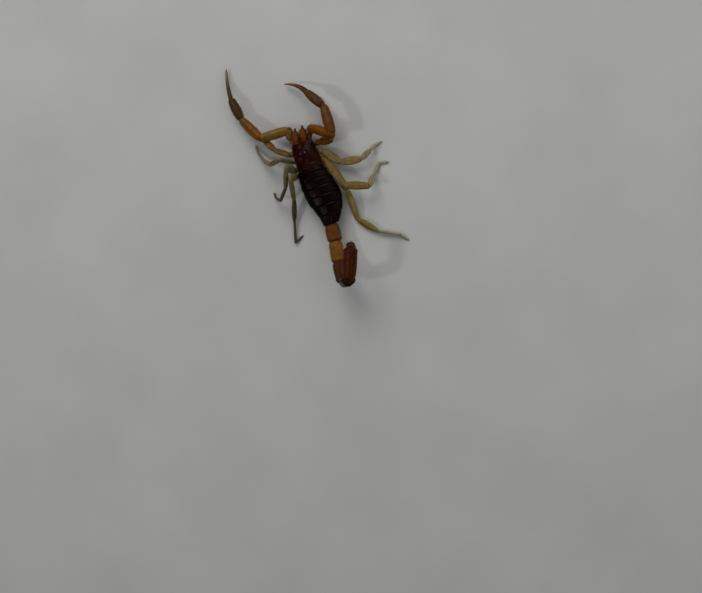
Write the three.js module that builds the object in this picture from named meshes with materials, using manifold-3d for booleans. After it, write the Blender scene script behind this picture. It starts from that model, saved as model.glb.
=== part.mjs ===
// A life-size bark scorpion, standing still with its tail curled up over its right side.
// Millimetres. +Y runs from tail to head, +X to the animal's right, +Z up from the floor.
// The body is laid out round its trunk's middle, and the finished group is then moved so
// that the origin is the middle of its footprint, on the floor.
import * as THREE from 'three';
import { mergeVertices } from 'three/addons/utils/BufferGeometryUtils.js';
import Module from 'manifold-3d';

const wasm = await Module();
wasm.setup();

// ---------------------------------------------------------------- driving dimensions
const GAP = 0.3; // clear space between two pieces that meet
const EYE_GAP = 0.15; // the same round an eye, which is smaller than a joint
const RIGHT = 1;
const LEFT = -1;
const SIDES = [['right', RIGHT], ['left', LEFT]];

const CARAPACE = {
  front: 12.4, rear: 4.6, halfFront: 3.1, halfRear: 3.8,
  base: 3.1, edge: 0.45, topFront: 4.7, top: 6.0, notch: 0.25,
};
const EYE = { radius: 0.42, x: 0.62, y: 8.9, z: 6.15 };
const TUBERCLE = { halfWidth: 0.85, halfLength: 1.25, halfHeight: 0.85, z: 5.75 };
const CHELICERA = {
  x: 1.25, y: 12.7, z: 4.1, turn: 10, length: 2.7, radius: 1.08, fingerLength: 1.4, fingerRadius: 0.42,
};

// The trunk behind the carapace, front to rear, and the seven plates that it is cut into. Its
// belly rises at the front to clear the last coxae, over the part of its length that lift gives.
const TRUNK = {
  front: 4.3, rear: -12.6, halfFront: 3.8, halfWidest: 5.1, halfRear: 2.2, widestAt: 0.52, bow: 0.9,
  topFront: 6.0, topWidest: 6.35, topRear: 5.6, bellyFront: 1.55, bellyWidest: 1.4, bellyRear: 2.2,
  lift: { height: 1.65, from: 0.16, to: 0.42 },
};
const PLATE_LENGTHS = [1.4, 1.9, 2.3, 2.6, 2.8, 2.9, 3.0];
const PLATE_LIP = 0.14; // how far a plate's rear edge stands out, and its front edge is sunk

// Hips: where each leg's trochanter leaves its coxa, and where the coxa begins near the midline.
const HIP = { x: 3.4, z: 2.0, y: [10.4, 8.2, 5.8, 3.6], innerY: [10.2, 9.0, 7.6, 5.9] };
const COXA = { innerX: 0.8, halfWidth: 0.85, halfEnd: 0.65, halfHeight: 0.82, top: 2.75 };
const GENITAL_PLATE = { front: 5.2, rear: 1.2, halfWidth: 1.7, halfHeight: 0.7, z: 2.1 };
const PALP_HIP = { x: 3.3, y: 14.2, z: 2.25, innerX: 1.3, innerY: 11.6 };
const PECTEN = { x: 0.9, y: 2.4, z: 0.85, length: 4.3, heading: 118, teeth: 8, toothLength: 1.05 };

// Lengths of a leg's links from the hip out, and its thickness and its tibia's beside the others.
const LEGS = [
  { lengths: [1.4, 5.0, 5.0, 3.6, 2.8, 2.0], girth: 1.12, tibia: 1 },
  { lengths: [1.5, 6.4, 6.0, 3.8, 2.9, 2.1], girth: 0.97, tibia: 1 },
  { lengths: [1.8, 9.7, 7.3, 5.3, 3.6, 2.4], girth: 1.0, tibia: 1 },
  { lengths: [1.6, 8.4, 9.2, 7.0, 6.4, 2.7], girth: 1.02, tibia: 1.35 },
];
const CLAW = 0.55;
const FOOT_HEIGHT = 0.16; // height of the last link's end, whose underside is cut flat on the floor

// How each leg stands. A link has a heading in degrees, 0 ahead, 90 straight out to its side and
// 180 behind, and a climb above the level. The last link climbs by what the floor leaves it.
const LEG_POSES = {
  right: [
    [[80, 6], [103, 28], [-2, -16], [3, -28], [3, -4], [-4]],
    [[104, 6], [142, 9], [103, 0], [68, 0], [45, -62], [83]],
    [[124, 26], [159, 17], [113, 0], [27, -53], [44, -15], [105]],
    [[116, -6], [161, 5], [183, -9], [140, 0], [118, -2], [145]],
  ],
  left: [
    [[106, 6], [49, 30], [29, -19], [37, -21], [30, -16], [14]],
    [[108, 14], [44, 67], [91, -43], [42, -32], [19, -18], [6]],
    [[106, -2], [-24, 82], [146, -35], [128, -29], [52, -50], [22]],
    [[92, 4], [-140, 88], [151, -46], [153, -22], [160, -5], [294]],
  ],
};

const PALP = { lengths: [3.0, 8.5, 8.6, 6.6, 9.6] }; // trochanter, femur, patella, palm, fingers
const FINGER_BOW = 0.8;
const MOVABLE_FINGER = { out: 0.5, up: -0.45 }; // how far each finger's base lies off the hand's axis
const FIXED_FINGER = { out: -0.45, up: 0.4 };
const PALP_POSES = {
  right: [[65, 62], [126, 28], [1, -11], [-32, -10], [-50, -29]],
  left: [[-20, 16], [87, 18], [29, -14], [8, -2], [-7, -14]],
};

const TAIL = {
  lengths: [5.0, 6.1, 6.2, 7.3, 8.6],
  halfWidths: [2.05, 1.97, 1.97, 1.87, 1.98],
  halfHeights: [1.8, 1.75, 1.75, 1.75, 1.75],
  pose: [[186, 5], [189, 9], [180, 24], [92, 62], [25, 3]],
};
const STING = { vesicle: 4.2, aculeus: 2.9, halfWidth: 1.42, halfHeight: 1.38, pose: [-39, -71] };

// ---------------------------------------------------------------- materials
const shell = (color, roughness) => new THREE.MeshStandardMaterial({ color, roughness, metalness: 0 });
const MATERIALS = {
  trunk: shell('#1c0d09', 0.32),
  head: shell('#2a0f0a', 0.34),
  eye: shell('#050505', 0.08),
  chelicera: shell('#8a4a1c', 0.4),
  coxa: shell('#8d6a35', 0.5),
  pecten: shell('#c8a878', 0.6),
  palp: shell('#9a5a1e', 0.38),
  hand: shell('#4a2a14', 0.36),
  legBase: shell('#8f7a33', 0.42),
  legEnd: shell('#8d8670', 0.5),
  tailBase: shell('#8a4f1a', 0.36),
  tailEnd: shell('#4c1d0e', 0.34),
  sting: shell('#5a2410', 0.3),
};

// ---------------------------------------------------------------- solids
const { clamp, degToRad, lerp } = THREE.MathUtils;

// A closed geometry with shared vertices, as a solid that can be cut and joined.
function solidOf(geometry) {
  const bare = geometry.clone();
  bare.deleteAttribute('normal');
  bare.deleteAttribute('uv');
  const merged = mergeVertices(bare, 1e-4);
  const corners = merged.index.array;
  const faces = [];
  for (let i = 0; i < corners.length; i += 3) {
    const [a, b, c] = [corners[i], corners[i + 1], corners[i + 2]];
    if (a !== b && b !== c && c !== a) faces.push(a, b, c);
  }
  const vertProperties = new Float32Array(merged.attributes.position.array);
  return new wasm.Manifold(new wasm.Mesh({ numProp: 3, vertProperties, triVerts: new Uint32Array(faces) }));
}

// A node's geometry: the largest closed surface of its solid.
function geometryOf(solid) {
  const largest = solid.decompose().reduce((a, b) => (a.volume() > b.volume() ? a : b));
  const mesh = largest.getMesh();
  const geometry = new THREE.BufferGeometry();
  geometry.setAttribute('position', new THREE.BufferAttribute(new Float32Array(mesh.vertProperties), 3));
  geometry.setIndex(new THREE.BufferAttribute(new Uint32Array(mesh.triVerts), 1));
  geometry.computeVertexNormals();
  return geometry;
}

const union = (solids) => solids.reduce((whole, solid) => whole.add(solid));

// Keeps what lies on the side that the normal points to, from a gap past the point.
function trim(solid, normal, point, gap = 0) {
  return solid.trimByPlane(normal.toArray(), normal.dot(point) + gap);
}

// Moves every vertex of a geometry to where place(x, y, z) puts it.
function reshape(geometry, place) {
  const position = geometry.attributes.position;
  for (let i = 0; i < position.count; i++) {
    position.setXYZ(i, ...place(position.getX(i), position.getY(i), position.getZ(i)));
  }
  return geometry;
}

// The distance out along one axis of a section: 2 gives an ellipse and more a squarer outline.
const squared = (value, power) => Math.sign(value) * Math.abs(value) ** (2 / power);

// A closed link along +Y, from 0 to its length, with a rounded end past each. The half sizes, the
// rise of its middle line and its sideways sway follow how far along it a section lies, 0 to 1.
function link({ length, wide, deep, sides = 8, steps = 3, caps = 2, square = 2, keel = 0, rise, sway }) {
  const geometry = new THREE.CapsuleGeometry(1, length, caps, sides, steps).translate(0, length / 2, 0);
  return reshape(geometry, (x, y, z) => {
    const t = clamp(y / length, 0, 1);
    const pastEnd = (y - t * length) * Math.min(wide(t), deep(t));
    const radius = Math.hypot(x, z);
    const angle = Math.atan2(x, z);
    const ridge = 1 - keel * Math.cos(angle * (sides / 2));
    const out = radius * ridge;
    return [
      wide(t) * out * squared(Math.sin(angle), square) + (sway ? sway(t) : 0),
      t * length + pastEnd,
      deep(t) * out * squared(Math.cos(angle), square) + (rise ? rise(t) : 0),
    ];
  });
}

// A half size that runs from base through middle to tip.
const swell = (base, middle, tip) => (t) => lerp(lerp(base, tip, t), middle, Math.sin(Math.PI * t) ** 0.8);
const taper = (base, tip) => (t) => lerp(base, tip, t);

// ---------------------------------------------------------------- limbs in links
function direction(side, heading, climb) {
  const h = degToRad(heading);
  const c = degToRad(climb);
  return new THREE.Vector3(side * Math.sin(h) * Math.cos(c), Math.cos(h) * Math.cos(c), Math.sin(c));
}

const turnBetween = (from, to) => new THREE.Quaternion().setFromUnitVectors(from.along, to.along);

// Lays links end to end from a start. Each has its start, end, direction and turn, which
// takes +Y to its direction and keeps +Z on its upper side as the limb bends.
function layLinks(start, side, lengths, pose, kneed = false) {
  const links = [];
  let from = start.clone();
  lengths.forEach((length, i) => {
    const [heading, climb = reachFloor(from.z, length)] = pose[i];
    const along = direction(side, heading, climb);
    const to = from.clone().addScaledVector(along, length);
    links.push({ from, to, along, length });
    from = to;
  });
  const up = kneed ? bladeSide(links) : new THREE.Vector3(0, 0, 1);
  const first = links[0].along;
  up.addScaledVector(first, -up.dot(first)).normalize();
  links.forEach((one, i) => {
    if (i > 0) up.applyQuaternion(turnBetween(links[i - 1], one));
    const across = new THREE.Vector3().crossVectors(one.along, up);
    one.turn = new THREE.Quaternion().setFromRotationMatrix(new THREE.Matrix4().makeBasis(across, one.along, up));
  });
  return links;
}

// The upper side of a leg's trochanter, such that the femur past it is deep in the plane that
// its knee bends in.
function bladeSide([trochanter, femur, patella]) {
  const hinge = new THREE.Vector3().crossVectors(femur.along, patella.along);
  const up = hinge.cross(femur.along).normalize();
  if (up.z < 0) up.negate();
  return up.applyQuaternion(turnBetween(femur, trochanter));
}

// The climb in degrees that brings a link's end down to the foot height.
function reachFloor(height, length) {
  return THREE.MathUtils.radToDeg(Math.asin(clamp((FOOT_HEIGHT - height) / length, -1, 1)));
}

const toWorld = (linkFrame) => new THREE.Matrix4().compose(linkFrame.from, linkFrame.turn, new THREE.Vector3(1, 1, 1));

// Cuts a solid in the shared frame at a joint, half way between the two directions that meet there.
function cutBefore(solid, joint, along, next) {
  const normal = along.clone().add(next).normalize().negate();
  return trim(solid, normal, joint, GAP / 2);
}
function cutAfter(solid, joint, along, previous) {
  const normal = along.clone().add(previous).normalize();
  return trim(solid, normal, joint, GAP / 2);
}

// A named mesh whose own frame is that of its first link.
function meshAt(name, solid, frame, material) {
  const geometry = geometryOf(solid).applyMatrix4(toWorld(frame).invert());
  const mesh = new THREE.Mesh(geometry, material);
  mesh.name = name;
  mesh.position.copy(frame.from);
  mesh.quaternion.copy(frame.turn);
  return mesh;
}

const placed = (geometry, frame) => solidOf(geometry.applyMatrix4(toWorld(frame)));

// ---------------------------------------------------------------- trunk
// Half width and height limits of the trunk at a place along it, 0 at its front and 1 at its rear.
function trunkSection(s) {
  const { widestAt } = TRUNK;
  const fore = Math.sin((Math.PI / 2) * Math.min(s / widestAt, 1));
  const aft = clamp((s - widestAt) / (1 - widestAt), 0, 1) ** 1.35;
  const blend = (front, widest, rear) => lerp(lerp(front, widest, fore), rear, aft);
  const { height, from, to } = TRUNK.lift;
  const lift = height * (1 - THREE.MathUtils.smoothstep(s, from, to));
  return {
    half: blend(TRUNK.halfFront, TRUNK.halfWidest, TRUNK.halfRear),
    bow: TRUNK.bow * Math.sin(Math.PI * s ** 2),
    top: blend(TRUNK.topFront, TRUNK.topWidest, TRUNK.topRear),
    belly: blend(TRUNK.bellyFront, TRUNK.bellyWidest, TRUNK.bellyRear) + lift,
  };
}

// One plate with the belly under it: a slice across the trunk with flat ends.
function plateGeometry(front, rear) {
  const geometry = new THREE.CylinderGeometry(1, 1, 1, 24, 3);
  return reshape(geometry, (x, y, z) => {
    const yTrunk = lerp(rear, front, y + 0.5);
    const { half, bow, top, belly } = trunkSection((TRUNK.front - yTrunk) / (TRUNK.front - TRUNK.rear));
    const lip = PLATE_LIP * lerp(1, -1, y + 0.5);
    const middle = lerp(belly, top, 0.4);
    const ridge = x === 0 || Math.abs(x) < 0.01 ? 0.12 : 0;
    const upper = middle + (top + lip + ridge - middle) * squared(z, 2.3);
    const lower = middle + (middle - belly) * squared(z, 3.2);
    return [bow + (half + lip) * squared(x, z > 0 ? 2.3 : 3.2), yTrunk, z > 0 ? upper : lower];
  });
}

function addPlates(body) {
  const shareOf = (TRUNK.front - TRUNK.rear) / PLATE_LENGTHS.reduce((a, b) => a + b);
  let front = TRUNK.front;
  PLATE_LENGTHS.forEach((plateLength, i) => {
    const rear = front - plateLength * shareOf;
    const mesh = new THREE.Mesh(plateGeometry(front, i < PLATE_LENGTHS.length - 1 ? rear + GAP : rear), MATERIALS.trunk);
    mesh.name = `mesosoma_${i + 1}`;
    body.add(mesh);
    front = rear;
  });
}

function addCarapace(body) {
  const { front, rear, base, edge } = CARAPACE;
  const dome = reshape(new THREE.CylinderGeometry(1, 1, 1, 24, 6), (x, y, z) => {
    const s = 0.5 - y; // 0 at the front
    const half = lerp(CARAPACE.halfFront, CARAPACE.halfRear, Math.sin((Math.PI / 2) * s) ** 0.8);
    const top = lerp(CARAPACE.topFront, CARAPACE.top, Math.sin((Math.PI / 2) * Math.min(s / 0.55, 1)));
    const notch = CARAPACE.notch * (1 - s) ** 3 * (1 - x * x);
    const sideLine = base + edge;
    const height = z > 0 ? (top - sideLine) * squared(z, 2.4) : edge * squared(z, 6);
    return [half * squared(x, z > 0 ? 2.4 : 6), lerp(front, rear, s) - notch, sideLine + height];
  });
  const tubercle = new THREE.SphereGeometry(1, 10, 6).rotateX(Math.PI / 2);
  tubercle.scale(TUBERCLE.halfWidth, TUBERCLE.halfLength, TUBERCLE.halfHeight).translate(0, EYE.y, TUBERCLE.z);
  let solid = solidOf(dome).add(solidOf(tubercle));
  for (const [sideName, side] of SIDES) {
    const at = new THREE.Vector3(side * EYE.x, EYE.y, EYE.z);
    const socket = new THREE.SphereGeometry(EYE.radius + EYE_GAP, 12, 8).translate(at.x, at.y, at.z);
    solid = solid.subtract(solidOf(socket));
    const eye = new THREE.Mesh(new THREE.SphereGeometry(EYE.radius, 10, 7), MATERIALS.eye);
    eye.name = `median_eye_${sideName}`;
    eye.position.copy(at);
    body.add(eye);
  }
  const mesh = new THREE.Mesh(geometryOf(solid), MATERIALS.head);
  mesh.name = 'carapace';
  body.add(mesh);
}

function addChelicerae(body) {
  const { x, y, z, turn, length, radius, fingerLength, fingerRadius } = CHELICERA;
  for (const [sideName, side] of SIDES) {
    const [block] = layLinks(new THREE.Vector3(side * x, y, z), side, [length], [[side * turn, -4]]);
    const wide = swell(radius * 0.9, radius, radius * 0.85);
    const palm = placed(link({ length, wide, deep: taper(radius, radius * 0.8) }), block);
    const fingers = [-0.42, 0.34].map((offset) => {
      const start = block.to.clone().add(new THREE.Vector3(side * offset, 0, -0.1));
      const inward = offset < 0 ? 8 : -12;
      const [finger] = layLinks(start, side, [fingerLength], [[side * turn + inward, -22]]);
      const half = taper(fingerRadius, 0.14);
      return placed(link({ length: fingerLength, wide: half, deep: half, sides: 6, steps: 2, caps: 1 }), finger);
    });
    const cut = trim(union([palm, ...fingers]), new THREE.Vector3(0, 1, 0), new THREE.Vector3(0, y, 0));
    body.add(meshAt(`chelicera_${sideName}`, cut, block, MATERIALS.chelicera));
  }
}

// ---------------------------------------------------------------- underside
// The coxae of the legs and pedipalps, fused in two rows along the midline under the carapace,
// with the genital plate that follows them under the first plates of the trunk.
function addCoxae(body, limbStarts) {
  const roots = limbStarts.map(({ inner, hip, next }) => {
    const along = hip.clone().sub(inner);
    const length = along.length();
    along.normalize();
    const up = new THREE.Vector3(0, 0, 1).addScaledVector(along, -along.z).normalize();
    const across = new THREE.Vector3().crossVectors(along, up);
    const turn = new THREE.Quaternion().setFromRotationMatrix(new THREE.Matrix4().makeBasis(across, along, up));
    const half = swell(COXA.halfWidth, COXA.halfWidth, COXA.halfEnd);
    const coxa = placed(link({ length, wide: half, deep: () => COXA.halfHeight, steps: 2 }), { from: inner, turn });
    return cutBefore(coxa, hip, along, next);
  });
  const { front, rear, halfWidth, halfHeight, z } = GENITAL_PLATE;
  const [plate] = layLinks(new THREE.Vector3(0, front, z), RIGHT, [front - rear], [[180, 0]]);
  const flat = link({ length: front - rear, wide: () => halfWidth, deep: () => halfHeight, square: 3 });
  const whole = trim(union([...roots, placed(flat, plate)]), new THREE.Vector3(0, 0, -1), new THREE.Vector3(0, 0, COXA.top));
  const mesh = new THREE.Mesh(geometryOf(whole), MATERIALS.coxa);
  mesh.name = 'coxosternum';
  body.add(mesh);
}

// A comb under the belly: a flat bar with a row of teeth along its rear edge.
function addPectines(body) {
  const { x, y, z, length, heading, teeth, toothLength } = PECTEN;
  for (const [sideName, side] of SIDES) {
    const [bar] = layLinks(new THREE.Vector3(side * x, y, z), side, [length], [[heading, 0]]);
    const solids = [placed(link({ length, wide: taper(0.5, 0.3), deep: () => 0.27, steps: 2 }), bar)];
    for (let i = 0; i < teeth; i++) {
      const root = bar.from.clone().addScaledVector(bar.along, (length * (i + 0.4)) / teeth);
      const [tooth] = layLinks(root, side, [toothLength], [[heading + 68, 0]]);
      const half = swell(0.18, 0.22, 0.14);
      solids.push(placed(link({ length: toothLength, wide: half, deep: () => 0.25, sides: 6, steps: 1, caps: 1 }), tooth));
    }
    body.add(meshAt(`pecten_${sideName}`, union(solids), bar, MATERIALS.pecten));
  }
}

// ---------------------------------------------------------------- legs
// Half sizes of a leg's links, thin across and deep between the upper and lower edge.
function legLink(index, length, girth, tibia) {
  const [base, middle, tip] = [
    [0.68, 0.74, 0.62], [0.56, 0.64, 0.52], [0.52, 0.66, 0.5],
    [0.46, 0.52 * tibia, 0.38], [0.36, 0.38, 0.34], [0.32, 0.32, 0.25],
  ][index].map((half) => half * girth);
  const [deepBase, deepMiddle, deepTip] = [
    [0.78, 0.82, 0.72], [0.68, 1.14, 0.8], [0.72, 1.2, 0.76],
    [0.62, 0.88 * tibia, 0.5], [0.44, 0.46, 0.38], [0.36, 0.36, 0.25],
  ][index].map((half) => half * girth);
  const wide = swell(base, middle, tip);
  const deep = swell(deepBase, deepMiddle, deepTip);
  return link({ length, wide, deep, steps: index === 0 ? 1 : 3, caps: index > 3 ? 1 : 2 });
}

// The two claws at a foot's end, spread to both sides.
function footClaws(foot, side, heading) {
  return [-28, 28].map((spread) => {
    const [claw] = layLinks(foot.to, side, [CLAW], [[heading + spread, -4]]);
    const half = taper(0.2, 0.07);
    return placed(link({ length: CLAW, wide: half, deep: half, sides: 6, steps: 1, caps: 1 }), claw);
  });
}

function addLeg(body, name, side, number) {
  const { lengths, girth, tibia } = LEGS[number];
  const pose = LEG_POSES[name][number];
  const hip = new THREE.Vector3(side * HIP.x, HIP.y[number], HIP.z);
  const inner = new THREE.Vector3(side * COXA.innerX, HIP.innerY[number], HIP.z);
  const links = layLinks(hip, side, lengths, pose, true);
  const solids = links.map((one, i) => placed(legLink(i, one.length, girth, tibia), one));
  const coxaAlong = hip.clone().sub(inner).normalize();

  let femur = union(solids.slice(0, 2));
  femur = cutAfter(femur, hip, links[0].along, coxaAlong);
  femur = cutBefore(femur, links[1].to, links[1].along, links[2].along);
  let patella = cutAfter(solids[2], links[2].from, links[2].along, links[1].along);
  patella = cutBefore(patella, links[2].to, links[2].along, links[3].along);
  const [heading] = pose.at(-1);
  let shank = union([...solids.slice(3), ...footClaws(links[5], side, heading)]);
  shank = cutAfter(shank, links[3].from, links[3].along, links[2].along);
  shank = trim(shank, new THREE.Vector3(0, 0, 1), new THREE.Vector3(0, 0, 0));

  const title = `leg_${name}_${number + 1}`;
  body.add(meshAt(`${title}_femur`, femur, links[1], MATERIALS.legBase));
  body.add(meshAt(`${title}_patella`, patella, links[2], MATERIALS.legBase));
  body.add(meshAt(`${title}_shank`, shank, links[3], MATERIALS.legEnd));
  return { inner, hip, next: links[0].along };
}

// ---------------------------------------------------------------- pedipalps
function addPalp(body, name, side) {
  const hip = new THREE.Vector3(side * PALP_HIP.x, PALP_HIP.y, PALP_HIP.z);
  const inner = new THREE.Vector3(side * PALP_HIP.innerX, PALP_HIP.innerY, PALP_HIP.z);
  const links = layLinks(hip, side, PALP.lengths, PALP_POSES[name]);
  const [trochanter, femur, patella, palm, fingers] = links;
  const before = hip.clone().sub(inner).normalize();
  const arm = { sides: 10, square: 2.6 };
  const title = `pedipalp_${name}`;

  const trochanterShape = link({ ...arm, length: trochanter.length, wide: swell(0.95, 1.15, 1.05), deep: swell(0.85, 1.05, 0.95) });
  const femurShape = link({ ...arm, length: femur.length, wide: swell(1.1, 1.45, 1.15), deep: swell(0.9, 1.15, 0.95) });
  const patellaShape = link({ ...arm, length: patella.length, wide: swell(1.1, 1.48, 1.05), deep: swell(0.95, 1.25, 0.95) });
  const jointed = [[trochanterShape, trochanter, 'trochanter'], [femurShape, femur, 'femur'], [patellaShape, patella, 'patella']];
  jointed.forEach(([shape, own, part], i) => {
    const previous = i === 0 ? before : links[i - 1].along;
    let solid = cutAfter(placed(shape, own), own.from, own.along, previous);
    solid = cutBefore(solid, own.to, own.along, links[i + 1].along);
    body.add(meshAt(`${title}_${part}`, solid, own, MATERIALS.palp));
  });

  // The movable finger lies outside and below the fixed one, and both curve in towards their tips.
  const finger = (offset, spare) => link({
    length: fingers.length, sides: 8, steps: 6,
    sway: (t) => side * (offset.out * (1 - 0.5 * t) + FINGER_BOW * Math.sin(Math.PI * t)),
    rise: (t) => offset.up * (1 - 0.5 * t),
    wide: taper(0.5 + spare, 0.2 + spare), deep: taper(0.55 + spare, 0.22 + spare),
  });
  const palmShape = link({ ...arm, length: palm.length, steps: 5, wide: swell(0.9, 1.35, 0.95), deep: swell(0.85, 1.35, 0.9) });
  const movable = placed(finger(MOVABLE_FINGER, 0), fingers);
  let hand = placed(palmShape, palm).add(placed(finger(FIXED_FINGER, 0), fingers));
  hand = cutAfter(hand, palm.from, palm.along, patella.along);
  hand = hand.subtract(placed(finger(MOVABLE_FINGER, GAP), fingers));
  body.add(meshAt(`${title}_hand`, hand, palm, MATERIALS.hand));
  body.add(meshAt(`${title}_finger`, movable, fingers, MATERIALS.hand));
  return { inner, hip, next: trochanter.along };
}

// ---------------------------------------------------------------- tail
function addTail(body) {
  const start = new THREE.Vector3(0, TRUNK.rear, lerp(TRUNK.bellyRear, TRUNK.topRear, 0.5));
  const lengths = [...TAIL.lengths, STING.vesicle, STING.aculeus];
  const links = layLinks(start, RIGHT, lengths, [...TAIL.pose, STING.pose, STING.pose]);
  const backward = new THREE.Vector3(0, -1, 0);
  TAIL.lengths.forEach((length, i) => {
    const own = links[i];
    const halfWidth = TAIL.halfWidths[i];
    const halfHeight = TAIL.halfHeights[i];
    const waist = (t) => 0.86 + 0.14 * Math.sin(Math.PI * Math.min(t * 1.1 + 0.1, 1) * 0.72);
    const shape = link({
      length, sides: 16, steps: 4, square: 2.8, keel: 0.035,
      wide: (t) => halfWidth * waist(t), deep: (t) => halfHeight * waist(t),
    });
    let solid = placed(shape, own);
    solid = i === 0
      ? trim(solid, backward, own.from, GAP)
      : cutAfter(solid, own.from, own.along, links[i - 1].along);
    solid = cutBefore(solid, own.to, own.along, links[i + 1].along);
    const material = i < 2 ? MATERIALS.tailBase : MATERIALS.tailEnd;
    body.add(meshAt(`metasoma_${i + 1}`, solid, own, material));
  });
  addTelson(body, links);
}

// The bulb with its sting, which curves towards the tail's underside, and a small tooth below it.
function addTelson(body, links) {
  const [last, vesicle, aculeus] = links.slice(-3);
  const bulb = link({
    length: vesicle.length, sides: 12, steps: 6, wide: swell(0.75, STING.halfWidth, 0.5),
    deep: swell(0.75, STING.halfHeight, 0.45), rise: (t) => -0.25 * Math.sin(Math.PI * t),
  });
  const needle = link({
    length: aculeus.length, sides: 8, steps: 5, wide: taper(0.46, 0.1), deep: taper(0.46, 0.1),
    rise: (t) => -0.9 * t * t,
  });
  const toothFrame = { from: vesicle.to.clone(), turn: vesicle.turn };
  const tooth = link({
    length: 0.6, sides: 6, steps: 1, caps: 1, wide: taper(0.25, 0.1), deep: taper(0.25, 0.1),
    rise: (t) => -0.5 - 0.25 * t,
  });
  let solid = union([placed(bulb, vesicle), placed(needle, aculeus), placed(tooth, toothFrame)]);
  solid = cutAfter(solid, vesicle.from, vesicle.along, last.along);
  body.add(meshAt('telson', solid, vesicle, MATERIALS.sting));
}

// ---------------------------------------------------------------- the whole animal
const body = new THREE.Group();
addCarapace(body);
addChelicerae(body);
addPlates(body);
addPectines(body);
addTail(body);
const limbStarts = SIDES.flatMap(([name, side]) => [
  addPalp(body, name, side),
  ...LEGS.map((_, number) => addLeg(body, name, side, number)),
]);
addCoxae(body, limbStarts);

const box = new THREE.Box3().setFromObject(body, true);
const middle = box.getCenter(new THREE.Vector3());
body.position.set(-middle.x, -middle.y, -box.min.z);

const scorpion = new THREE.Group();
scorpion.add(body);

export default scorpion;
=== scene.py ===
import math
import random

import bmesh
import bpy
from mathutils import Matrix, Vector, noise


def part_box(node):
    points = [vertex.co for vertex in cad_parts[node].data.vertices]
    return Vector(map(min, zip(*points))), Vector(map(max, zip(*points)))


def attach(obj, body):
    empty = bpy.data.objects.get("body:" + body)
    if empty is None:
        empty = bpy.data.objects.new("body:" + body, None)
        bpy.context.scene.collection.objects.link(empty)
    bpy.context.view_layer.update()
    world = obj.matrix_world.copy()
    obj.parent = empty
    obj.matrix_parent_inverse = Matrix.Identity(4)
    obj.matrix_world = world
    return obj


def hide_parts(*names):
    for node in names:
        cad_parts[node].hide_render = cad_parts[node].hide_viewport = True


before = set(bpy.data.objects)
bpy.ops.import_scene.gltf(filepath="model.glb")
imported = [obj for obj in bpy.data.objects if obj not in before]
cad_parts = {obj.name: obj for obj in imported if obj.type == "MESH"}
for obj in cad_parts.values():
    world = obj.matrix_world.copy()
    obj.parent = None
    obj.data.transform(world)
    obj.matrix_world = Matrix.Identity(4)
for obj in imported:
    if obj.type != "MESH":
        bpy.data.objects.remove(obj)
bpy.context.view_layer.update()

# ---------------------------------------------------------------- where the animal stands
# The animal is laid out in millimetres round the middle of its trunk, as its solids are, and
# then set down where they stand, which the solid of its right median eye tells.
MILLIMETRE = 0.001
EYE = {"radius": 0.42, "x": 0.62, "y": 8.9, "z": 6.15}
eye_low, eye_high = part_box("median_eye_right")
to_metres = Matrix.Scale(MILLIMETRE, 4)
eye_to_middle = Matrix.Translation(-Vector((EYE["x"], EYE["y"], EYE["z"])))
TO_FRAME = Matrix.Translation((eye_low + eye_high) / 2) @ to_metres @ eye_to_middle

# ---------------------------------------------------------------- camera
# It looks down from the animal's right, a little from behind, and is turned on its side so
# that the head is at the upper left. The animal is small in the middle of a wide view.
LOOK_FROM = Vector((90.51, -24.39, 336.90))
LOOK_AT = Vector((-3.15, -34.34, 0.0))
CAMERA_TURN = math.radians(-116.28)
LENS = 61.54
SENSOR_WIDTH = 36.0
NEAREST_SEEN = 0.005

camera_data = bpy.data.cameras.new("camera")
camera_data.lens = LENS
camera_data.sensor_width = SENSOR_WIDTH
camera_data.clip_start = NEAREST_SEEN
camera = bpy.data.objects.new("camera", camera_data)
bpy.context.scene.collection.objects.link(camera)
aim = (LOOK_AT - LOOK_FROM).to_track_quat("-Z", "Y").to_matrix().to_4x4()
camera_place = Matrix.Translation(TO_FRAME @ LOOK_FROM)
camera.matrix_world = camera_place @ aim @ Matrix.Rotation(CAMERA_TURN, 4, "Z")
bpy.context.scene.camera = camera

# ---------------------------------------------------------------- floor and lights
# A plain pale floor under an even sky. A soft light ahead of the animal throws its shadow towards
# its tail, a very wide one stands at its right, and a small weak one at its left glints on its back.
FLOOR_HALF_WIDTH = 1.5
FLOOR_COLOURS = ((0.52, 0.52, 0.5), (0.56, 0.56, 0.54))
LIGHT_DISTANCE = 0.5
SKY_COLOUR = (0.93, 0.95, 1.0, 1.0)
SKY_STRENGTH = 0.17
bpy.context.scene.view_settings.view_transform = "Standard"


def new_material(name):
    """A new material, with its nodes, its links and its main shader."""
    material = bpy.data.materials.new(name)
    material.use_nodes = True
    tree = material.node_tree
    return material, tree.nodes, tree.links, tree.nodes["Principled BSDF"]


def noise_on_object(nodes, links, scale, detail):
    """A noise pattern laid on a piece by its own coordinates."""
    place = nodes.new("ShaderNodeTexCoord")
    pattern = nodes.new("ShaderNodeTexNoise")
    pattern.inputs["Scale"].default_value = scale
    pattern.inputs["Detail"].default_value = detail
    links.new(place.outputs["Object"], pattern.inputs["Vector"])
    return pattern.outputs["Fac"]


def stretched(nodes, links, value, low, high, from_low=0.35, from_high=0.65):
    """A pattern's middle range spread over new limits."""
    spread = nodes.new("ShaderNodeMapRange")
    spread.inputs["From Min"].default_value = from_low
    spread.inputs["From Max"].default_value = from_high
    spread.inputs["To Min"].default_value = low
    spread.inputs["To Max"].default_value = high
    links.new(value, spread.inputs["Value"])
    return spread.outputs["Result"]


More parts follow.
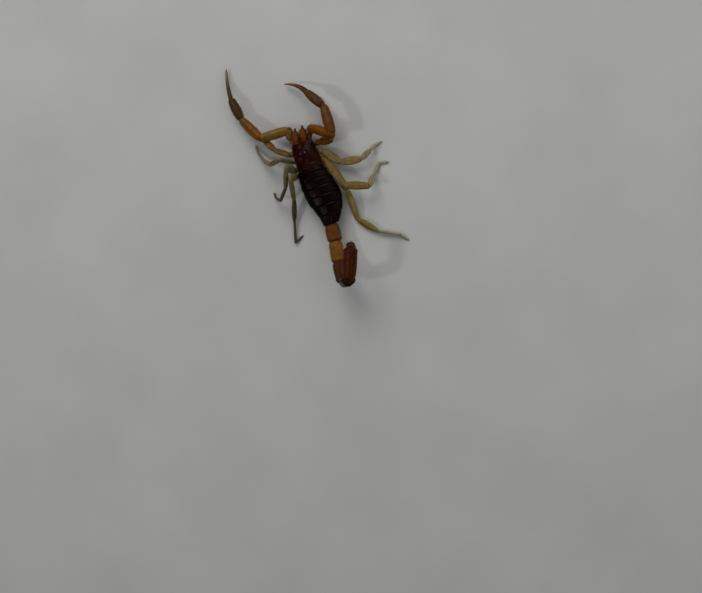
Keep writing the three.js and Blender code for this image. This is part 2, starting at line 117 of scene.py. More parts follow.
def mixed(nodes, links, first, second, share):
    """A mix of two colours, each given as a colour or as another node's output."""
    mix = nodes.new("ShaderNodeMix")
    mix.data_type = "RGBA"
    for socket, colour in (("A", first), ("B", second)):
        entry = next(s for s in mix.inputs if s.name == socket and s.type == "RGBA")
        if isinstance(colour, tuple):
            entry.default_value = (*colour, 1.0)
        else:
            links.new(colour, entry)
    links.new(share, mix.inputs["Factor"])
    return next(s for s in mix.outputs if s.type == "RGBA")


def blotched(nodes, links, first, second, scale, detail):
    """Two colours in soft blotches."""
    blotch = stretched(nodes, links, noise_on_object(nodes, links, scale, detail), 0, 1)
    return mixed(nodes, links, first, second, blotch)


floor_paint, nodes, links, shader = new_material("floor_paint")
links.new(blotched(nodes, links, *FLOOR_COLOURS, 30, 3), shader.inputs["Base Color"])
shader.inputs["Roughness"].default_value = 0.8

bm = bmesh.new()
bmesh.ops.create_grid(bm, x_segments=2, y_segments=2, size=FLOOR_HALF_WIDTH)
floor_mesh = bpy.data.meshes.new("floor")
bm.to_mesh(floor_mesh)
bm.free()
floor_mesh.materials.append(floor_paint)
floor = bpy.data.objects.new("floor", floor_mesh)
bpy.context.scene.collection.objects.link(floor)


def direction(side, heading, climb):
    """Heading 0 is ahead, 90 straight out to the given side, and climb is above the level."""
    h, c = math.radians(heading), math.radians(climb)
    return Vector((side * math.sin(h) * math.cos(c), math.cos(h) * math.cos(c), math.sin(c)))


def soft_light(name, heading, climb, size, power, colour):
    """A square light that faces the animal from a heading on its right side."""
    data = bpy.data.lights.new(name, "AREA")
    data.size = size
    data.energy = power
    data.color = colour
    light = bpy.data.objects.new(name, data)
    bpy.context.scene.collection.objects.link(light)
    where = direction(1, heading, climb)
    facing = (-where).to_track_quat("-Z", "Y").to_matrix().to_4x4()
    light.matrix_world = Matrix.Translation(where * LIGHT_DISTANCE) @ facing


soft_light("key_light", 10, 44, 0.3, 1.05, (1.0, 0.98, 0.95))
soft_light("side_light", 85, 30, 0.8, 1.05, (0.95, 0.97, 1.0))
soft_light("glint_light", -90, 55, 0.05, 0.28, (1.0, 1.0, 1.0))
world = bpy.data.worlds.new("sky")
world.use_nodes = True
sky = world.node_tree.nodes["Background"]
sky.inputs["Color"].default_value = SKY_COLOUR
sky.inputs["Strength"].default_value = SKY_STRENGTH
bpy.context.scene.world = world

# ---------------------------------------------------------------- soft skin of the trunk
# Between the hard plates of the back and belly the body has a thin leathery skin, folded along
# the flanks and between the plates. It is one bag from behind the jaws to the tail.
CARAPACE = {
    "front": 12.4, "rear": 4.6, "half_front": 3.1, "half_rear": 3.8, "side_line": 3.55,
    "edge": 0.45, "top_front": 4.7, "top": 6.0, "notch": 0.25,
}
TRUNK = {
    "front": 4.3, "rear": -12.6, "widest_at": 0.52, "bow": 0.9,
    "half": (3.8, 5.1, 2.2), "top": (6.0, 6.35, 5.6), "belly": (1.55, 1.4, 2.2),
    "lift": 1.65, "lift_from": 0.16, "lift_to": 0.42, "back_power": 2.3, "belly_power": 3.2,
}


def lerp(a, b, t):
    return a + (b - a) * t


def clamp(value, low=0.0, high=1.0):
    return min(max(value, low), high)


def smooth(value, low, high):
    """0 below low, 1 above high, and an even slope between."""
    t = clamp((value - low) / (high - low))
    return t * t * (3 - 2 * t)


def squared(value, power):
    """The reach along one axis of a rounded section: power 2 is an ellipse, and more is squarer."""
    return math.copysign(abs(value) ** (2 / power), value)


def trunk_section(y):
    """Half width, sideways bow, top and belly of the trunk at a place along it."""
    s = clamp((TRUNK["front"] - y) / (TRUNK["front"] - TRUNK["rear"]))
    fore = math.sin(math.pi / 2 * min(s / TRUNK["widest_at"], 1))
    aft = clamp((s - TRUNK["widest_at"]) / (1 - TRUNK["widest_at"])) ** 1.35
    half, top, belly = (
        lerp(lerp(front, widest, fore), rear, aft)
        for front, widest, rear in (TRUNK["half"], TRUNK["top"], TRUNK["belly"])
    )
    belly += TRUNK["lift"] * (1 - smooth(s, TRUNK["lift_from"], TRUNK["lift_to"]))
    return half, TRUNK["bow"] * math.sin(math.pi * s * s), top, belly


def trunk_point(y, angle, out):
    """A point of the trunk's outline, angle 0 on its back and 180 degrees on its belly, moved out."""
    half, bow, top, belly = trunk_section(y)
    middle = lerp(belly, top, 0.4)
    power = TRUNK["back_power"] if math.cos(angle) > 0 else TRUNK["belly_power"]
    rise = top + out - middle if math.cos(angle) > 0 else middle - belly + out
    x = bow + (half + out) * squared(math.sin(angle), power)
    return x, y, middle + rise * squared(math.cos(angle), power)


def carapace_section(y):
    """Half width and top of the head shield at a place along it."""
    s = clamp((CARAPACE["front"] - y) / (CARAPACE["front"] - CARAPACE["rear"]))
    half = lerp(CARAPACE["half_front"], CARAPACE["half_rear"], math.sin(math.pi / 2 * s) ** 0.8)
    top = lerp(CARAPACE["top_front"], CARAPACE["top"], math.sin(math.pi / 2 * min(s / 0.55, 1)))
    return half, top


def carapace_point(y, angle, out):
    """A point of the head shield's outline, which ends in an upright edge at both sides."""
    half, top = carapace_section(y)
    line = CARAPACE["side_line"]
    x = (half + out) * squared(math.sin(angle), 2.4)
    if math.cos(angle) > 0:
        return x, y, line + (top - line + out) * squared(math.cos(angle), 2.4)
    return x, y, line + (CARAPACE["edge"] + out) * squared(math.cos(angle), 6)


def corner_layers(bm):
    """The layers for each corner's angle, and for its marks for ridge, joint and reach."""
    layers = bm.verts.layers.float
    names = ("angle", "ridge", "joint", "reach")
    for name in names:
        if name not in layers.keys():
            layers.new(name)
    angle, *marks = (layers[name] for name in names)
    return angle, marks


def drawn_out(bm, edges):
    """Draws a line of edges out, and gives the corners and edges of the new line."""
    drawn = bmesh.ops.extrude_edge_only(bm, edges=edges)["geom"]
    corners = [part for part in drawn if isinstance(part, bmesh.types.BMVert)]
    fresh = set(corners)
    edges = [part for part in drawn if isinstance(part, bmesh.types.BMEdge)]
    return corners, [edge for edge in edges if set(edge.verts) <= fresh]


def lay_corners(corners, station, at, angle, marks, place=Matrix()):
    """Moves a line's corners to where at(station, angle) says, which gives their marks too."""
    for corner in corners:
        x, y, z, *values = at(station, corner[angle])
        corner.co = place @ Vector((x, y, z))
        for mark, value in zip(marks, values):
            corner[mark] = value


def skin(bm, stations, sides, at, place=Matrix()):
    """Adds a closed skin to a mesh: a ring of corners drawn out from station to station."""
    angle, marks = corner_layers(bm)
    ring = bmesh.ops.create_circle(bm, segments=sides, radius=1)["verts"]
    for corner in ring:
        corner[angle] = math.atan2(corner.co.x, corner.co.y)
    rim = list({edge for corner in ring for edge in corner.link_edges})
    rims = [rim]
    for number, station in enumerate(stations):
        if number:
            ring, rim = drawn_out(bm, rim)
        lay_corners(ring, station, at, angle, marks, place)
    rims.append(rim)
    for rim in rims:
        cap = bmesh.ops.edgeloop_fill(bm, edges=rim)["faces"]
        bmesh.ops.poke(bm, faces=cap)


def finished(name, bm, material, nodes=(), wall=0.0):
    """Makes a mesh in the animal's own frame into a piece of the model, in place of some nodes."""
    bmesh.ops.recalc_face_normals(bm, faces=bm.faces[:])
    bmesh.ops.transform(bm, matrix=TO_FRAME, verts=bm.verts[:])
    mesh = bpy.data.meshes.new(name)
    bm.to_mesh(mesh)
    bm.free()
    mesh.shade_smooth()
    mesh.materials.append(material)
    piece = bpy.data.objects.new(name, mesh)
    bpy.context.scene.collection.objects.link(piece)
    if wall:
        thick = piece.modifiers.new("wall", "SOLIDIFY")
        thick.thickness = wall * MILLIMETRE
        thick.offset = -1
    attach(piece, "root")
    if nodes:
        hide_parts(*nodes)


def steps(start, end, spacing):
    """Evenly spaced stations from start to end."""
    count = max(2, round(abs(end - start) / spacing))
    return [lerp(start, end, i / count) for i in range(count + 1)]


def bumped(nodes, links, shader, height, depth):
    """Raises a shader's surface by a pattern. The depth is in millimetres."""
    bump = nodes.new("ShaderNodeBump")
    bump.inputs["Distance"].default_value = depth * MILLIMETRE
    links.new(height, bump.inputs["Height"])
    links.new(bump.outputs["Normal"], shader.inputs["Normal"])


def skin_finish(name, light, dark):
    """Dull, finely creased soft skin, blotched light and dark."""
    material, nodes, links, shader = new_material(name)
    links.new(blotched(nodes, links, light, dark, 900, 4), shader.inputs["Base Color"])
    creases = noise_on_object(nodes, links, 6000, 5)
    bumped(nodes, links, shader, creases, 0.06)
    shader.inputs["Roughness"].default_value = 0.6
    shader.inputs["Specular IOR Level"].default_value = 0.12
    shader.inputs["Subsurface Weight"].default_value = 0.15
    shader.inputs["Subsurface Scale"].default_value = 0.4 * MILLIMETRE
    return material


def trunk_skin_at(y, angle):
    """The bag of skin: under the head shield it follows that, and behind it the trunk."""
    inner = -0.3 + 0.035 * math.sin(11 * angle) * smooth(abs(math.sin(angle)), 0.75, 0.95)
    hind = Vector(trunk_point(y, angle, inner - 0.03 * math.sin(7.5 * y)))
    half, top = carapace_section(y)
    floor_of_head = 2.5
    middle = (top + floor_of_head) / 2
    fore = Vector(((half - 0.5) * squared(math.sin(angle), 2.6), y, middle))
    fore.z += (top - 0.45 - middle) * squared(math.cos(angle), 2.6)
    point = hind.lerp(fore, smooth(y, 3.6, 5.0))
    near_end = min(smooth(y, -12.5, -11.9) + 0.55, smooth(-y, -12.1, -11.4) + 0.5, 1.0)
    centre = Vector((0, y, middle if y > 0 else 3.9))
    return (*centre.lerp(point, near_end), 0, 0, 0)


bm = bmesh.new()
skin(bm, steps(12.0, -12.4, 0.16), 72, trunk_skin_at)
trunk_skin = skin_finish("trunk_skin", (0.075, 0.035, 0.02), (0.03, 0.012, 0.008))
finished("trunk_skin", bm, trunk_skin)

# ---------------------------------------------------------------- head shield
# One arched plate of hard shell over the head. Its front edge is notched, the two main eyes stand
# on a mound along its middle, a furrow runs before and behind it, and fine grains cover it.
TUBERCLE = {"half_width": 0.85, "half_length": 1.25, "height": 0.62}


def plate(rows, columns, at):
    """A bent sheet: a line of corners drawn out row by row. Rows go from front to rear."""
    bm = bmesh.new()
    angle, marks = corner_layers(bm)
    line = [bm.verts.new((0, 0, 0)) for _ in columns]
    for corner, column in zip(line, columns):
        corner[angle] = column
    edges = [bm.edges.new(pair) for pair in zip(line, line[1:])]
    for number, row in enumerate(rows):
        if number:
            line, edges = drawn_out(bm, edges)
        lay_corners(line, row, at, angle, marks)
    return bm


def bell(away, spread):
    """1 at the middle of a ridge, falling evenly to nothing on both sides of it."""
    return math.exp(-((away / spread) ** 2))


def grains(point, spacing, height):
    """How far a grained surface stands up at a point: round grains about a spacing apart."""
    distances, _ = noise.voronoi(Vector(point) / spacing)
    return height * clamp(1 - (distances[0] / 0.55) ** 2)


def shaded(colour, share):
    return tuple(part * share for part in colour)


def shell_finish(
    name, colour, ridge=0.5, joint=0.55, tip=None, tip_from=0.7, gloss=0.27, shine=0.1, glow=0.0
):
    """Hard glossy shell: blotched, a shade of its own colour along ridges and at joints, turning to
    the tip colour along its reach, finely pitted, and uneven in gloss. Glow lets light in."""
    material, nodes, links, shader = new_material(name)
    ridge, joint = shaded(colour, ridge), shaded(colour, joint)
    light, dark = shaded(colour, 1.22), shaded(colour, 0.72)

    def mark(title, low, high, top):
        attribute = nodes.new("ShaderNodeAttribute")
        attribute.attribute_name = title
        return stretched(nodes, links, attribute.outputs["Fac"], 0, top, low, high)

    colour = blotched(nodes, links, light, dark, 650, 5)
    if tip:
        colour = mixed(nodes, links, colour, tip, mark("reach", tip_from - 0.22, tip_from + 0.22, 1.0))
    colour = mixed(nodes, links, colour, ridge, mark("ridge", 0.0, 1.0, 0.85))
    colour = mixed(nodes, links, colour, joint, mark("joint", 0.0, 1.0, 0.9))
    speck = stretched(nodes, links, noise_on_object(nodes, links, 5200, 2), 0, 0.35, 0.52, 0.75)
    colour = mixed(nodes, links, colour, dark, speck)
    links.new(colour, shader.inputs["Base Color"])
    uneven = noise_on_object(nodes, links, 2600, 3)
    links.new(stretched(nodes, links, uneven, gloss - 0.07, gloss + 0.12), shader.inputs["Roughness"])
    place = nodes.new("ShaderNodeTexCoord")
    pits = nodes.new("ShaderNodeTexVoronoi")
    pits.inputs["Scale"].default_value = 8200
    links.new(place.outputs["Object"], pits.inputs["Vector"])
    bumped(nodes, links, shader, pits.outputs["Distance"], 0.012)
    shader.inputs["Specular IOR Level"].default_value = shine
    shader.inputs["Subsurface Weight"].default_value = glow
    shader.inputs["Subsurface Scale"].default_value = 0.6 * MILLIMETRE
    return material


def carapace_at(y, angle):
    """The shield's surface, with its mound, furrows, brows and grains."""
    s = (CARAPACE["front"] - y) / (CARAPACE["front"] - CARAPACE["rear"])
    x, _, z = carapace_point(y, angle, 0)
    across = math.sin(angle)
    y -= CARAPACE["notch"] * clamp(1 - s) ** 3 * (1 - across * across)
    flat = clamp(math.cos(angle) * 2)
    away = (x / TUBERCLE["half_width"]) ** 2 + ((y - EYE["y"]) / TUBERCLE["half_length"]) ** 2
    mound = math.exp(-(away ** 1.3))
    furrow = bell(x, 0.3) * (0.12 + 0.12 * smooth(s, 0.62, 0.8))
    crossing = 0.14 * bell(s - 0.86, 0.035) * smooth(abs(x), 0.3, 1.2)
    brow = 0.1 * bell(abs(x) - 1.0, 0.16) * smooth(s, 0.05, 0.15) * (1 - smooth(s, 0.42, 0.55))
    grain = grains((x, y, z), 0.34, 0.055) * flat * (1 - 0.7 * mound)
    z += flat * (TUBERCLE["height"] * mound - furrow * (1 - 0.6 * mound) - crossing + brow) + grain
    z -= 0.3 * (1 - smooth(s, 0.0, 0.035)) * flat
    x += math.copysign(grain * (1 - flat), x)
    edge = max(1 - smooth(s, 0.01, 0.05), smooth(s, 0.965, 0.995), smooth(abs(angle), 1.5, 1.75))
    return x, y, z, clamp(grain * 9 + brow * 5), edge, s


bm = plate(steps(CARAPACE["front"], CARAPACE["rear"], 0.1), steps(-1.95, 1.95, 0.045), carapace_at)
head_shell = shell_finish("head_shell", (0.019, 0.0027, 0.0007), joint=2.2, gloss=0.19, shine=0.05)
finished("head_shield", bm, head_shell, ["carapace"], wall=0.16)

# ---------------------------------------------------------------- eyes
# Two polished black lenses stand on the mound, each in a low ring of shell, and three pinhead
# eyes sit in a row at each front corner of the shield.
SIDES = (("right", 1), ("left", -1))
EYE_COLOURS = ((0.004, 0.004, 0.005), (0.014, 0.009, 0.006))
EYE_RING = {"thickness": 0.075, "lift": 0.06}
SIDE_EYES = {"places": (12.0, 11.62, 11.28), "radii": (0.17, 0.17, 0.13), "angle": math.radians(58)}
eye_glass, nodes, links, shader = new_material("eye_glass")
links.new(blotched(nodes, links, *EYE_COLOURS, 3000, 2), shader.inputs["Base Color"])
shader.inputs["Roughness"].default_value = 0.06
shader.inputs["Coat Weight"].default_value = 1.0
shader.inputs["Coat Roughness"].default_value = 0.03

for side_name, side in SIDES:
    at = Vector((side * EYE["x"], EYE["y"], EYE["z"]))
    gaze = Vector((side * 0.8, 0.1, 0.6)).normalized()
    turn = gaze.to_track_quat("Z", "Y").to_matrix().to_4x4()
    bm = bmesh.new()
    bmesh.ops.create_icosphere(bm, subdivisions=4, radius=EYE["radius"] - 0.02)
    bmesh.ops.scale(bm, vec=(1.0, 1.0, 0.92), verts=bm.verts[:])
    bmesh.ops.transform(bm, matrix=Matrix.Translation(at) @ turn, verts=bm.verts[:])
    finished(f"eye_{side_name}", bm, eye_glass, [f"median_eye_{side_name}"])
    bm = bmesh.new()
    rim = bmesh.ops.create_circle(bm, segments=8, radius=EYE_RING["thickness"])
    stand = Matrix.Translation((EYE["radius"], 0, 0)) @ Matrix.Rotation(math.pi / 2, 4, "X")
    bmesh.ops.transform(bm, matrix=stand, verts=rim["verts"])
    bmesh.ops.spin(
        bm, geom=bm.verts[:] + bm.edges[:], cent=(0, 0, 0), axis=(0, 0, 1),
        angle=math.tau, steps=32, use_merge=True,
    )
    lift = Matrix.Translation(at + gaze * EYE_RING["lift"])
    bmesh.ops.transform(bm, matrix=lift @ turn, verts=bm.verts[:])
    finished(f"eye_ring_{side_name}", bm, head_shell)
    bm = bmesh.new()
    for y, radius in zip(SIDE_EYES["places"], SIDE_EYES["radii"]):
        spot = Vector(carapace_point(y, side * SIDE_EYES["angle"], -0.02))
        made = bmesh.ops.create_icosphere(bm, subdivisions=3, radius=radius)
        bmesh.ops.scale(bm, vec=(1.0, 1.1, 0.8), verts=made["verts"])
        bmesh.ops.translate(bm, vec=spot, verts=made["verts"])
    finished(f"side_eyes_{side_name}", bm, eye_glass)

# ---------------------------------------------------------------- jaws
# Two stout jaws reach out from under the head shield, each with a fixed and a hinged finger.
# They are of orange-brown shell with dark teeth, and coarse hairs fringe their inner sides.
# Like every limb they are chains of stiff links of shell, laid as those of the solids are.
JAW = {"x": 1.25, "y": 12.7, "z": 4.1, "turn": 10, "length": 2.7, "finger": 1.4, "bow": 0.16}
JAW_FINGERS = ((-0.42, 8, 1), (0.34, -12, -1))
HAIR_COLOURS = ((0.24, 0.13, 0.05), (0.1, 0.05, 0.02))
FOOT_HEIGHT = 0.16


def lay_links(start, side, lengths, pose, kneed=False):
    """Lays links end to end. Each has its start, end, direction, length and place, which takes
    +Y to its direction and keeps +Z on its upper side as the limb bends. A pose is a heading and
    a climb for each link, and a link with no climb comes down to the height of a foot."""
    links = []
    at = Vector(start)
    for length, (heading, *climb) in zip(lengths, pose):
        drop = math.degrees(math.asin(clamp((FOOT_HEIGHT - at.z) / length, -1, 1)))
        along = direction(side, heading, climb[0] if climb else drop)
        links.append({"start": at, "end": at + along * length, "along": along, "length": length})
        at = links[-1]["end"]
    up = Vector((0, 0, 1))
    first = links[0]["along"]
    if kneed:
        femur, patella = links[1]["along"], links[2]["along"]
        up = femur.cross(patella).cross(femur).normalized()
        up *= math.copysign(1, up.z)
        up.rotate(femur.rotation_difference(first))
    up = (up - first * up.dot(first)).normalized()
    for number, link in enumerate(links):
        if number:
            up.rotate(links[number - 1]["along"].rotation_difference(link["along"]))
        across = link["along"].cross(up)
        place = Matrix((across, link["along"], up)).transposed().to_4x4()
        link["place"] = Matrix.Translation(link["start"]) @ place
    return links


def swell(base, middle, tip):
    """A half size that runs from base through middle to tip."""
    return lambda t: lerp(lerp(base, tip, t), middle, math.sin(math.pi * t) ** 0.8)


def taper(base, tip):
    return lambda t: lerp(base, tip, t)


def both_sides(*keels):
    """Keels on one side of a link, each with its mirror image on the other."""
    return [(side * angle, spread, height) for angle, spread, height in keels for side in (1, -1)]


def link_at(
    length, wide, deep, square=2.0, keels=(), grain=0.0, neck=0.62, hood=0.3,
    sway=None, rise=None, reach=(0, 1),
):
    """The surface of one link. It springs from a narrow neck, widens, and ends in a rounded hood
    with a raised lip. Keels are (angle, half width, height) in degrees and millimetres, and they
    break into grains that far apart if grain isn't 0."""

    def at(y, angle):
        t = clamp(y / length)
        half_wide, half_deep = wide(t), deep(t)
        least = min(half_wide, half_deep)
        out = lerp(neck, 1.0, smooth(y, -0.1, 0.75 * least))
        past = clamp((y - length + 0.15 * least) / (hood * least + 0.15 * least))
        out *= math.sqrt(max(1 - past * past * 0.86, 0.0))
        out += 0.06 * bell(y - length + 0.35 * least, 0.14 * least)
        ridge = 0.0
        for keel, spread, height in keels:
            away = abs((math.degrees(angle) - keel + 180) % 360 - 180)
            bead = 0.62 + 0.38 * math.cos(math.tau * y / grain) if grain else 1.0
            fade = smooth(t, 0.04, 0.12) * (1 - smooth(t, 0.93, 0.99))
            weight = bell(away, spread) * bead * fade
            ridge = max(ridge, weight * math.copysign(1, height))
            out += weight * height / least
        x = half_wide * out * squared(math.sin(angle), square) + (sway(t) if sway else 0)
        z = half_deep * out * squared(math.cos(angle), square) + (rise(t) if rise else 0)
        ends = max(1 - smooth(y, 0.0, 0.5 * least), smooth(y, length - 0.3 * least, length))
        return x, y, z, ridge, ends, lerp(*reach, t)

    return at


def add_link(bm, link, sides, spacing, root=-0.1, **shape):
    """Adds one link's shell to a mesh."""
    least = min(shape["wide"](1), shape["deep"](1))
    hood = shape.get("hood", 0.3)
    end = link["length"] + hood * least
    body = steps(root, link["length"] - 0.1 * least, spacing)
    tip = steps(link["length"] - 0.1 * least, end, min(spacing, (hood + 0.1) * least / 4))
    skin(bm, body + tip[1:], sides, link_at(link["length"], **shape), link["place"])


def add_joint_skin(bm, before, after, radius):
    """Adds the ball of folded soft skin that shows where two links meet."""
    axis = (before["along"] + after["along"]).normalized()
    turn = axis.to_track_quat("Y", "Z").to_matrix().to_4x4()
    place = Matrix.Translation(after["start"]) @ turn

    def at(tilt, angle):
        reach = radius * math.cos(tilt) * (1 + 0.06 * math.cos(9 * tilt))
        return reach * math.sin(angle), radius * 0.9 * math.sin(tilt), reach * math.cos(angle), 0, 1, 0

    skin(bm, steps(-1.45, 1.45, 0.15), 18, at, place)


def add_spike(bm, middle, way, sides, base, tip, length):
    """Adds a slim cone that points a given way."""
    turn = way.to_track_quat("Z", "Y").to_matrix().to_4x4()
    bmesh.ops.create_cone(
        bm, cap_ends=True, cap_tris=True, segments=sides, radius1=base, radius2=tip,
        depth=length, matrix=Matrix.Translation(middle) @ turn,
    )


def add_hairs(bm, link, surface, count, length, chance, where=(0.08, 0.95), angles=(-180, 180)):
    """Adds stiff tapered hairs that lean towards the end of a link."""
    for _ in range(count):
        t = chance.uniform(*where)
        angle = math.radians(chance.uniform(*angles))
        y = t * link["length"]
        root = link["place"] @ Vector(surface(y, angle)[:3])
        core = link["place"] @ Vector((0, y, 0))
        lean = (root - core).normalized() + link["along"] * chance.uniform(0.5, 1.1)
        size = length * chance.uniform(0.6, 1.25)
        add_spike(bm, root + lean.normalized() * size * 0.45, lean, 4, 0.026, 0.006, size)


hair_finish, nodes, links, shader = new_material("hair")
links.new(blotched(nodes, links, *HAIR_COLOURS, 1500, 2), shader.inputs["Base Color"])
shader.inputs["Roughness"].default_value = 0.35
jaw_shell = shell_finish("jaw_shell", (0.125, 0.033, 0.002), tip=(0.03, 0.01, 0.004), tip_from=0.8)
tooth_shell = shell_finish("tooth_shell", (0.02, 0.009, 0.006), gloss=0.2)


def add_tooth(bm, root, way, radius, height):
    """Adds a small blunt tooth, spine or spur that stands on a shell."""
    add_spike(bm, root + way * height * 0.3, way, 8, radius, radius * 0.3, height)


chance = random.Random(3)
for side_name, side in SIDES:
    start = (side * JAW["x"], JAW["y"], JAW["z"])
    block = lay_links(start, side, [JAW["length"]], [[side * JAW["turn"], -4]])[0]
    block_shape = {
        "wide": swell(1.0, 1.1, 0.95), "deep": taper(1.08, 0.87), "neck": 0.85, "hood": 0.5,
        "keels": both_sides((60, 14, 0.04)), "reach": (0.0, 0.45),
    }
    bm = bmesh.new()
    add_link(bm, block, 28, 0.1, root=-0.7, **block_shape)
    teeth = bmesh.new()
    for offset, inward, bend in JAW_FINGERS:
        root = block["end"] + Vector((side * offset, 0, -0.1))
        finger = lay_links(root, side, [JAW["finger"]], [[side * JAW["turn"] + inward, -22]])[0]
        lean = side * bend
        add_link(
            bm, finger, 16, 0.08, wide=taper(0.43, 0.12), deep=taper(0.43, 0.14), neck=1.0, hood=0.8,
            sway=lambda t: lean * JAW["bow"] * math.sin(math.pi * t), reach=(0.5, 1.0),
        )
        for t in (0.32, 0.5, 0.66, 0.82):
            inset = JAW["bow"] * math.sin(math.pi * t) - lerp(0.36, 0.1, t)
            edge = finger["place"] @ Vector((lean * inset, t * JAW["finger"], -0.05))
            way = (finger["place"].to_3x3() @ Vector((-lean, 0.2, 0))).normalized()
            add_tooth(teeth, edge, way, 0.09, 0.2)
    finished(f"jaw_{side_name}", bm, jaw_shell, [f"chelicera_{side_name}"])
    finished(f"jaw_teeth_{side_name}", teeth, tooth_shell)
    bm = bmesh.new()
    inner = (30, 150) if side < 0 else (-150, -30)
    surface = link_at(block["length"], **block_shape)
    add_hairs(bm, block, surface, 40, 0.6, chance, (0.3, 1.0), inner)
    finished(f"jaw_hairs_{side_name}", bm, hair_finish)

# ---------------------------------------------------------------- back plates
# Seven broad arched plates of near-black shell cover the trunk, each laid over the front edge of
# the next. They are grained towards the rear, a low keel runs down the middle, and the last plate
# has two more keels on each side.
PLATE_LENGTHS = (1.4, 1.9, 2.3, 2.6, 2.8, 2.9, 3.0)
SIDE_KEELS = {6: (0.75, 1.45)}
back_shell = shell_finish(
    "back_shell", (0.0044, 0.0009, 0.0003), ridge=1.3, joint=2.0, gloss=0.17, shine=0.05
)
plate_front = TRUNK["front"]
for number, plate_length in enumerate(PLATE_LENGTHS):
    keels = (0, *SIDE_KEELS.get(number, ()))

    def back_plate_at(y, angle):
        v = (plate_front - y) / plate_length
        flat = clamp(math.cos(angle) * 1.6)
        x, _, z = trunk_point(y, angle, 0)
        bow = trunk_section(y)[1]
        keel = max(bell(abs(x - bow) - place, 0.17) for place in keels)
        keel *= 0.12 * smooth(v, 0.2, 0.45) * flat
        grain = grains((x, y, z), 0.3, 0.05) * smooth(v, 0.3, 0.8) * smooth(0.98 - v, 0.0, 0.1)
        hem = 0.05 * bell(abs(angle) - 1.6, 0.06)
        out = -0.14 + 0.17 * smooth(v, -0.02, 0.22) + 0.11 * v - 0.12 * smooth(v, 1.0, 1.05) + hem
        x, _, z = trunk_point(y, angle, out + keel + grain)
        return x, y, z, clamp(grain * 12 + keel * 4), smooth(v, 0.93, 1.0) * 0.6, v

    tuck = 0.28 if number else 0.1
    rows = steps(plate_front + tuck, plate_front - plate_length * 1.045, 0.085)
    bm = plate(rows, steps(-1.68, 1.68, 0.05), back_plate_at)
    finished(f"back_plate_{number + 1}", bm, back_shell, [f"mesosoma_{number + 1}"], wall=0.1)
    plate_front -= plate_length

# ---------------------------------------------------------------- belly plates
# Five flatter plates close the belly behind the combs. The first four have a pair of narrow
# breathing slits, and all are of smooth brown shell, paler at the rear edge.
SLIT_PAIRS = 4
belly_shell = shell_finish("belly_shell", (0.08, 0.036, 0.015), ridge=0.25, joint=2.0, gloss=0.32)
plate_front = TRUNK["front"] - sum(PLATE_LENGTHS[:2])
for number, plate_length in enumerate(PLATE_LENGTHS[2:]):

    def belly_plate_at(y, angle):
        v = (plate_front - y) / plate_length
        slit = bell(abs(math.sin(angle)) - 0.62, 0.09) * bell(v - 0.45, 0.07)
        slit *= number < SLIT_PAIRS
        groove = bell(abs(math.sin(angle)) - 0.25, 0.05) * smooth(v, 0.2, 0.5)
        out = -0.1 + 0.13 * smooth(v, -0.02, 0.2) + 0.05 * v - 0.1 * smooth(v, 1.0, 1.05)
        x, _, z = trunk_point(y, angle, out - 0.12 * slit - 0.03 * groove)
        return x, y, z, slit, smooth(v, 0.9, 1.0) * 0.7, v

    rows = steps(plate_front + 0.25, plate_front - plate_length * 1.04, 0.11)
    bm = plate(rows, steps(1.86, math.tau - 1.86, 0.05), belly_plate_at)
    finished(f"belly_plate_{number + 1}", bm, belly_shell, wall=0.1)
    plate_front -= plate_length

# ---------------------------------------------------------------- underside of the head
# The first joints of the legs lie packed in two rows of satin yellow-brown shell, with a
# small breastplate between the last pairs, and the two doors of the birth opening behind it. The
# arms' first joints, and the lip that closes the mouth between the jaws, are of orange-brown shell.
HIP = {
    "x": 3.4, "z": 2.0, "y": (10.4, 8.2, 5.8, 3.6),
    "inner_x": 0.8, "inner_y": (10.2, 9.0, 7.6, 5.9),
}
ARM_HIP = {"x": 3.3, "y": 14.2, "z": 2.25, "inner_x": 1.3, "inner_y": 11.6}
COXA_GAP = 0.1
GENITAL_PLATE = {"front": 5.2, "rear": 1.2, "half_width": 1.7, "half_height": 0.64, "z": 2.1}
coxa_shell = shell_finish("coxa_shell", (0.16, 0.075, 0.016), gloss=0.36, glow=0.05)
arm_coxa_shell = shell_finish("arm_coxa_shell", (0.15, 0.048, 0.004), gloss=0.33, glow=0.05)


def straight_link(start, end):
    """A single link between two points at about one height."""
    start, end = Vector(start), Vector(end)
    along = (end - start).normalized()
    up = Vector((0, 0, 1))
    turn = Matrix((along.cross(up), along, up)).transposed().to_4x4()
    return {"length": (end - start).length, "place": Matrix.Translation(start) @ turn}


def add_coxa(bm, start, end):
    """Adds a limb's first joint, which lies level under the head and is ribbed below."""
    coxa = straight_link(start, end)
    coxa["length"] -= COXA_GAP
    add_link(
        bm, coxa, 30, 0.12, wide=swell(0.82, 0.86, 0.66), deep=swell(0.78, 0.82, 0.66), square=2.3,
        keels=both_sides((140, 10, 0.06)), grain=0.35, neck=0.7,
    )


for side_name, side in SIDES:
    bm = bmesh.new()
    inner = (side * ARM_HIP["inner_x"], ARM_HIP["inner_y"], ARM_HIP["z"])
    add_coxa(bm, inner, (side * ARM_HIP["x"], ARM_HIP["y"], ARM_HIP["z"]))
    finished(f"arm_coxa_{side_name}", bm, arm_coxa_shell)
    bm = bmesh.new()
    for inner_y, y in zip(HIP["inner_y"], HIP["y"]):
        add_coxa(bm, (side * HIP["inner_x"], inner_y, HIP["z"]), (side * HIP["x"], y, HIP["z"]))
    finished(f"coxae_{side_name}", bm, coxa_shell, ["coxosternum"])

bm = bmesh.new()
lip = straight_link((0, 11.6, 3.1), (0, 14.6, 3.0))
add_link(
    bm, lip, 24, 0.12, wide=swell(0.9, 1.0, 0.6), deep=taper(0.5, 0.35),
    square=2.4, neck=0.8, hood=0.7,
)
finished("upper_lip", bm, arm_coxa_shell)

